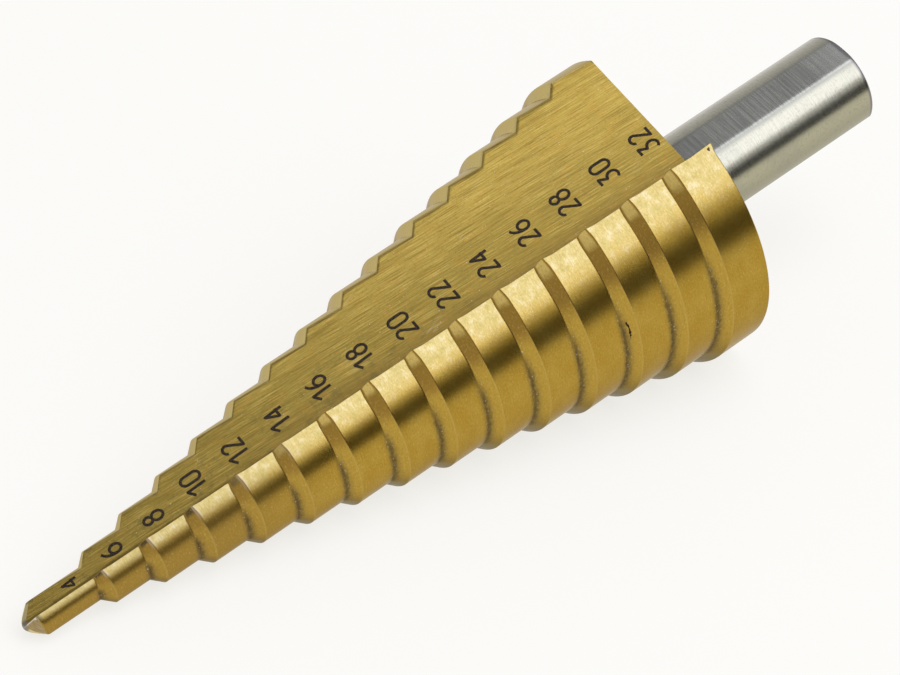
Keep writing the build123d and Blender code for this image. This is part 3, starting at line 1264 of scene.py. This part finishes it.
# %% [markdown]
# The wall of the upper flute has a direction out from the root and a direction along its
# floor. Those two, and the normal between them, make the small frame that each number is
# written in: it reads outwards, with its top towards the tip. On the real drill the first
# number is the smallest, because its wall is narrow, and each later one is a touch larger. The
# first three move away from the root faster than the others.

# %% The numbers as pieces
mark_height = 0.010
first_along, along_rise, along_growth = 5.53, 4.77, 0.0066
early_out, early_rise = 0.92, 0.33       # of the first three numbers, from the root
later_out, later_rise = 1.27, 0.24
first_size, size_rise = 0.84, 0.005
out_way = Vector((-wall_way[0], -wall_way[1], 0.0))
floor_way = Vector((sin(flute_slope), 0.0, cos(flute_slope)))
free_way = out_way.cross(-floor_way).normalized()


def number_place(step):
    """How far along the axis and how far out on the wall a number sits, and its size."""
    along = first_along + along_rise * step + along_growth * step**2
    out = early_out + early_rise * step if step < 3 else later_out + later_rise * step
    size = first_size if step == 0 else 1 + size_rise * step
    return along, out, size


def write_number(step):
    """The number of one step, lying on the wall."""
    text = str(4 + 2 * step)
    curve = bpy.data.curves.new("strokes", "CURVE")
    curve.dimensions = "3D"
    curve.bevel_depth = stroke_width / 2
    curve.bevel_resolution = 2
    curve.use_fill_caps = True
    for index, figure in enumerate(text):
        shift = (index - (len(text) - 1) / 2) * figure_advance
        for stroke in figure_strokes(figure):
            line = curve.splines.new("POLY")
            stroke = closer_points(stroke)
            line.points.add(len(stroke) - 1)
            for point, (x, y) in zip(line.points, stroke):
                point.co = (x + shift, y - figure_height / 2, 0.0, 1.0)
    temporary = bpy.data.objects.new("strokes", curve)
    mesh = bpy.data.meshes.new_from_object(temporary)
    bpy.data.objects.remove(temporary)
    along, out, size = number_place(step)
    flatten = Matrix.Diagonal((size, size, 2 * mark_height / stroke_width, 1.0))
    corner = Vector((web_at_tip / 2, 0, 0)) + floor_way * (along / cos(flute_slope))
    writing = Matrix.Translation(corner + out_way * out) @ Matrix(
        [[out_way[row], -floor_way[row], free_way[row]] for row in range(3)]).to_4x4()
    mesh.transform(upright_to_table @ writing @ flatten)
    mesh.name = "number_" + text
    mesh.materials.clear()
    mesh.materials.append(mark_paint)
    number = bpy.data.objects.new("number_" + text, mesh)
    bpy.context.scene.collection.objects.link(number)
    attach(number, "root")
    return number


numbers = [write_number(step) for step in range(step_count)]
print("numbers", [number.name for number in numbers])

# %% [markdown]
# ## Floor, light and camera
#
# The photo looks as if it was taken on a white table under one large soft lamp on the
# camera's side. The real lights can't be seen, so these were found by trial.
# Metal shows what is around it, so the surroundings matter more than the strength of the
# light: a wide lamp gives the pale band along the lands, the dark room between the lamp and
# the table gives the dark band below it, and the white table lights the underside.
#
# The table is almost pure white in the photo, yet it hardly lights the drill from below. So
# its own colour is dim, and it glows only for the camera and in reflections.

# %% Floor
floor_radius = 0.26
floor_corners = 96
floor_gap = 0.0001           # under the drill, so that nothing cuts into the table
floor_grey, floor_white = (0.26, 0.256, 0.245, 1.0), (1.0, 0.99, 0.96, 1.0)
floor_glow = 0.75


def white_floor():
    """Pale to the camera and in reflections, and it still takes the drill's soft shadow."""
    paint = Paint("white table")
    seen = paint.add("LightPath")
    glow = paint.plus(seen.outputs["Is Camera Ray"], seen.outputs["Is Glossy Ray"])
    glow = paint.plus(glow, seen.outputs["Is Transmission Ray"])
    paint.surface.inputs["Specular IOR Level"].default_value = 0.1
    paint.surface.inputs["Emission Color"].default_value = floor_white
    paint.feed(paint.surface.inputs["Emission Strength"], paint.times(glow, floor_glow))
    return paint.finish(floor_grey, 0.8, metallic=0.0)


floor_mesh = bpy.data.meshes.new("table")
floor_turns = [2 * pi * corner / floor_corners for corner in range(floor_corners)]
rim_points = [(floor_radius * cos(turn), floor_radius * sin(turn), 0.0) for turn in floor_turns]
floor_mesh.from_pydata(rim_points, [], [tuple(range(floor_corners))])
floor_mesh.materials.append(white_floor())
floor = bpy.data.objects.new("table", floor_mesh)
floor.location.z = -floor_gap
bpy.context.scene.collection.objects.link(floor)
print("table is", 2 * floor_radius, "m across")

# %% [markdown]
# One lamp does all the lighting. Its size is what makes the photo's soft look: seen from the
# drill it fills a good part of the room, so its reflection is a wide band and its shadow is
# faint. It is a touch blue, as the grey steel in the photo is cooler than the table.

# %% Lamp
lamp_place = (0.220, -0.330, 0.705)
lamp_size = (0.75, 0.975)
lamp_watts = 4.25
lamp_colour = (0.97, 1.0, 1.09)
drill_middle = (0, 0, 0.012)

light = bpy.data.lights.new("large soft lamp", "AREA")
light.shape = "RECTANGLE"
light.size, light.size_y = lamp_size
light.energy = lamp_watts
light.color = lamp_colour
lamp = bpy.data.objects.new("large soft lamp", light)
lamp.location = lamp_place
lamp_way = Vector(drill_middle) - Vector(lamp_place)
lamp.rotation_euler = lamp_way.to_track_quat("-Z", "Y").to_euler()
bpy.context.scene.collection.objects.link(lamp)
lamp.visible_camera = False
print("lamp is", round(lamp_way.length, 2), "m from the drill")

# %% [markdown]
# The dark band along the lower side of the drill looks like the reflection of something dark
# on the camera's side of the table. What it was isn't known, so a black card stands in for
# it. The card shows only in reflections, so it throws no shadow and takes no light from
# the table.

# %% Dark card
card_distance, card_top = 0.30, 0.125
card_left, card_right = -0.45, 0.75
card_black = (0.02, 0.02, 0.02, 1.0)

card_mesh = bpy.data.meshes.new("dark card")
card_mesh.from_pydata(
    [(card_left, -card_distance, 0.0), (card_right, -card_distance, 0.0),
     (card_right, -card_distance, card_top), (card_left, -card_distance, card_top)],
    [], [(0, 1, 2, 3)])
card_mesh.materials.append(Paint("black card").finish(card_black, 0.9, metallic=0.0))
card = bpy.data.objects.new("dark_card", card_mesh)
card.visible_camera = False
card.visible_shadow = False
card.visible_diffuse = False
bpy.context.scene.collection.objects.link(card)
print("card rises", card_top, "m above the table")

# %% [markdown]
# The rest of the room is pale near the height of the table and darker overhead. A colour ramp
# over the upward part of the direction is all that this sky needs.

# %% Sky
sky_low, low_pale = 0.05, (0.85, 0.85, 0.85, 1.0)
sky_high, high_grey = 0.85, (0.34, 0.34, 0.35, 1.0)

world = bpy.data.worlds.new("studio")
bpy.context.scene.world = world
world.use_nodes = True
sky = world.node_tree
background = sky.nodes["Background"]
direction = sky.nodes.new("ShaderNodeTexCoord")
split_direction = sky.nodes.new("ShaderNodeSeparateXYZ")
sky.links.new(direction.outputs["Generated"], split_direction.inputs["Vector"])
height_ramp = sky.nodes.new("ShaderNodeValToRGB")
low_end, high_end = height_ramp.color_ramp.elements
low_end.position, low_end.color = sky_low, low_pale
high_end.position, high_end.color = sky_high, high_grey
sky.links.new(split_direction.outputs["Z"], height_ramp.inputs["Fac"])
sky.links.new(height_ramp.outputs["Color"], background.inputs["Color"])
background.inputs["Strength"].default_value = 1.0
print("nodes in the sky", len(sky.nodes))

# %% [markdown]
# The camera was fitted to the photo from the known sizes of the steps. It looks down on the
# drill at about 39 degrees through a long lens, which keeps the far end nearly as large as
# the near one. It leans a degree and a half to one side.

# %% Camera
camera_place = (-0.136328, -0.180718, 0.195462)
camera_turn = radians(-36.82)
camera_tilt = radians(90 - 39.42)
camera_roll = radians(-1.46)
sensor_width, focal_length = 36.0, 123.47          # in millimetres

camera_data = bpy.data.cameras.new("camera")
camera_data.sensor_width = sensor_width
camera_data.lens = focal_length
camera_data.clip_start = 0.01
camera = bpy.data.objects.new("camera", camera_data)
camera.matrix_world = (
    Matrix.Translation(camera_place)
    @ Matrix.Rotation(camera_turn, 4, "Z")
    @ Matrix.Rotation(camera_tilt, 4, "X")
    @ Matrix.Rotation(camera_roll, 4, "Z")
)
bpy.context.scene.collection.objects.link(camera)
bpy.context.scene.camera = camera
bpy.context.scene.view_settings.view_transform = "Standard"
print("camera is", round(Vector(camera_place).length, 3), "m from the middle of the table")
